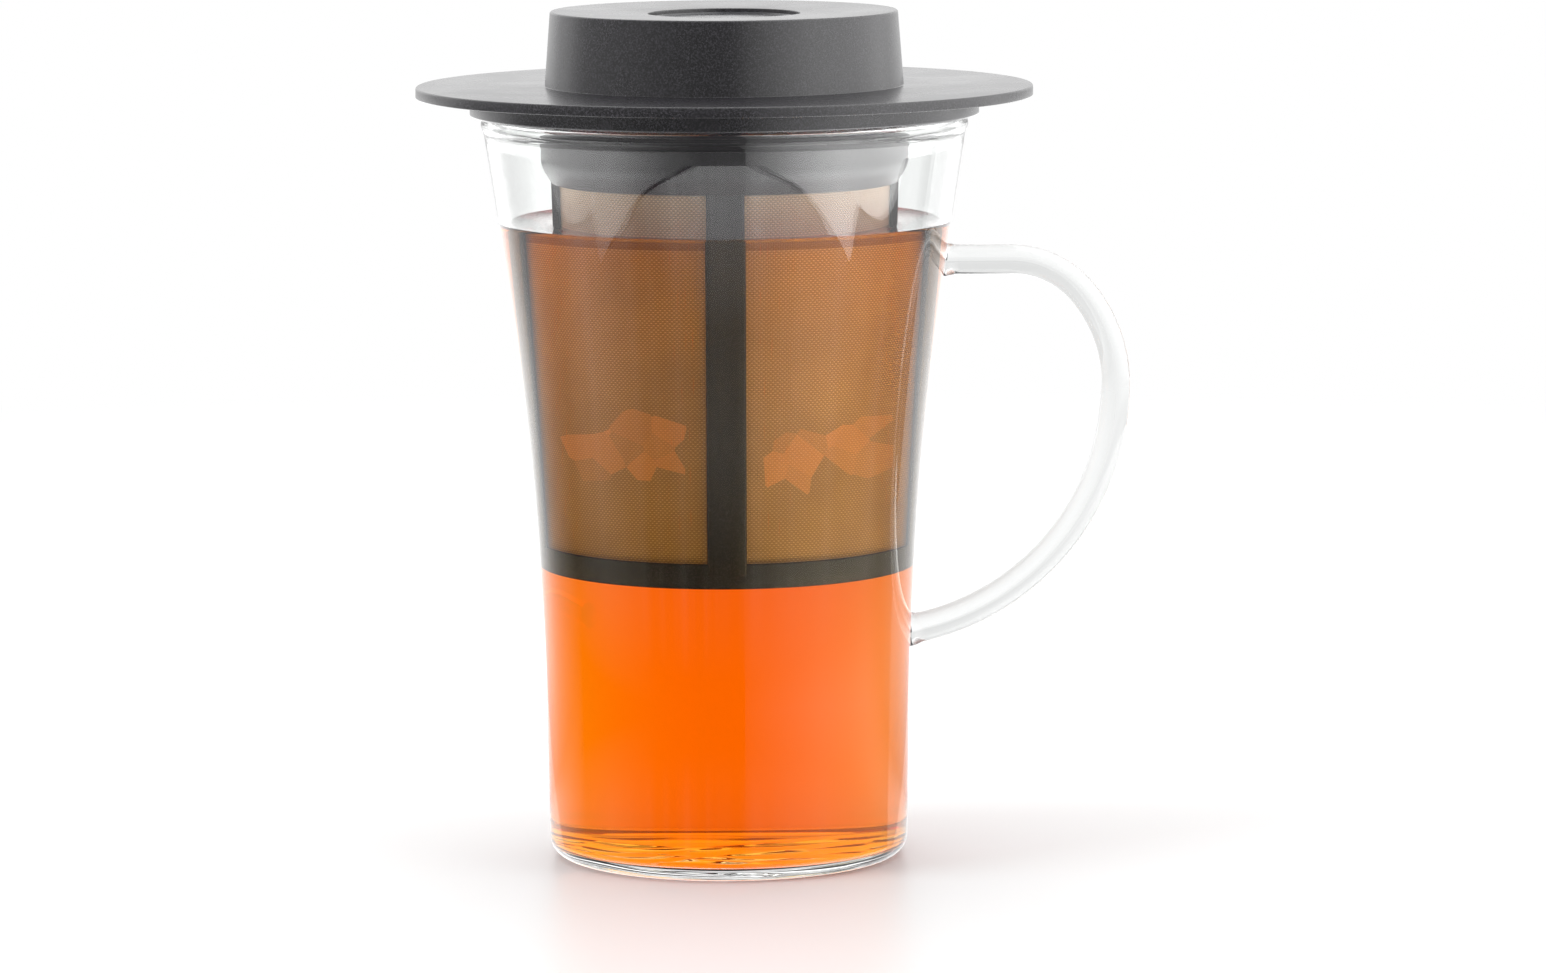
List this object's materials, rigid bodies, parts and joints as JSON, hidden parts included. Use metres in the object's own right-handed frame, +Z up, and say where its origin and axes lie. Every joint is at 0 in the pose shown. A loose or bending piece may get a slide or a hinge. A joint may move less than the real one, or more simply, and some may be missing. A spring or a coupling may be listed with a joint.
{
  "type": "lidded tea mug with infuser",
  "caption": "Flared glass tea mug with a glass loop handle, a lift-out mesh infuser hung on the rim, and a hat-shaped lid that lifts off.",
  "frame": {"origin": "centre of the flat underside of the mug, on the mug's axis", "axes": "+Z up along the mug's axis, +X through the handle, -Y towards the front with the handle on the right"},
  "size_m": [0.1247, 0.1076, 0.1487],
  "materials": {
    "clear_glass": "polished",
    "charcoal_plastic": "satin",
    "badge_plastic": "polished",
    "golden_mesh": "satin",
    "tea": "polished"
  },
  "bodies": {
    "mug": {"mug_glass": "clear_glass", "mug_handle": "clear_glass"},
    "infuser": {"infuser_frame": "charcoal_plastic", "infuser_mesh_wall": "golden_mesh", "infuser_mesh_floor": "golden_mesh"},
    "lid": {"lid_shell": "charcoal_plastic", "lid_badge": "badge_plastic"}
  },
  "joints": [
    {"name": "infuser_lift", "type": "slide", "parent": "mug", "child": "infuser", "axis": [0, 0, 1], "range_m": [0, 0.09]},
    {"name": "lid_lift", "type": "slide", "parent": "infuser", "child": "lid", "axis": [0, 0, 1], "range_m": [0, 0.05]}
  ]
}
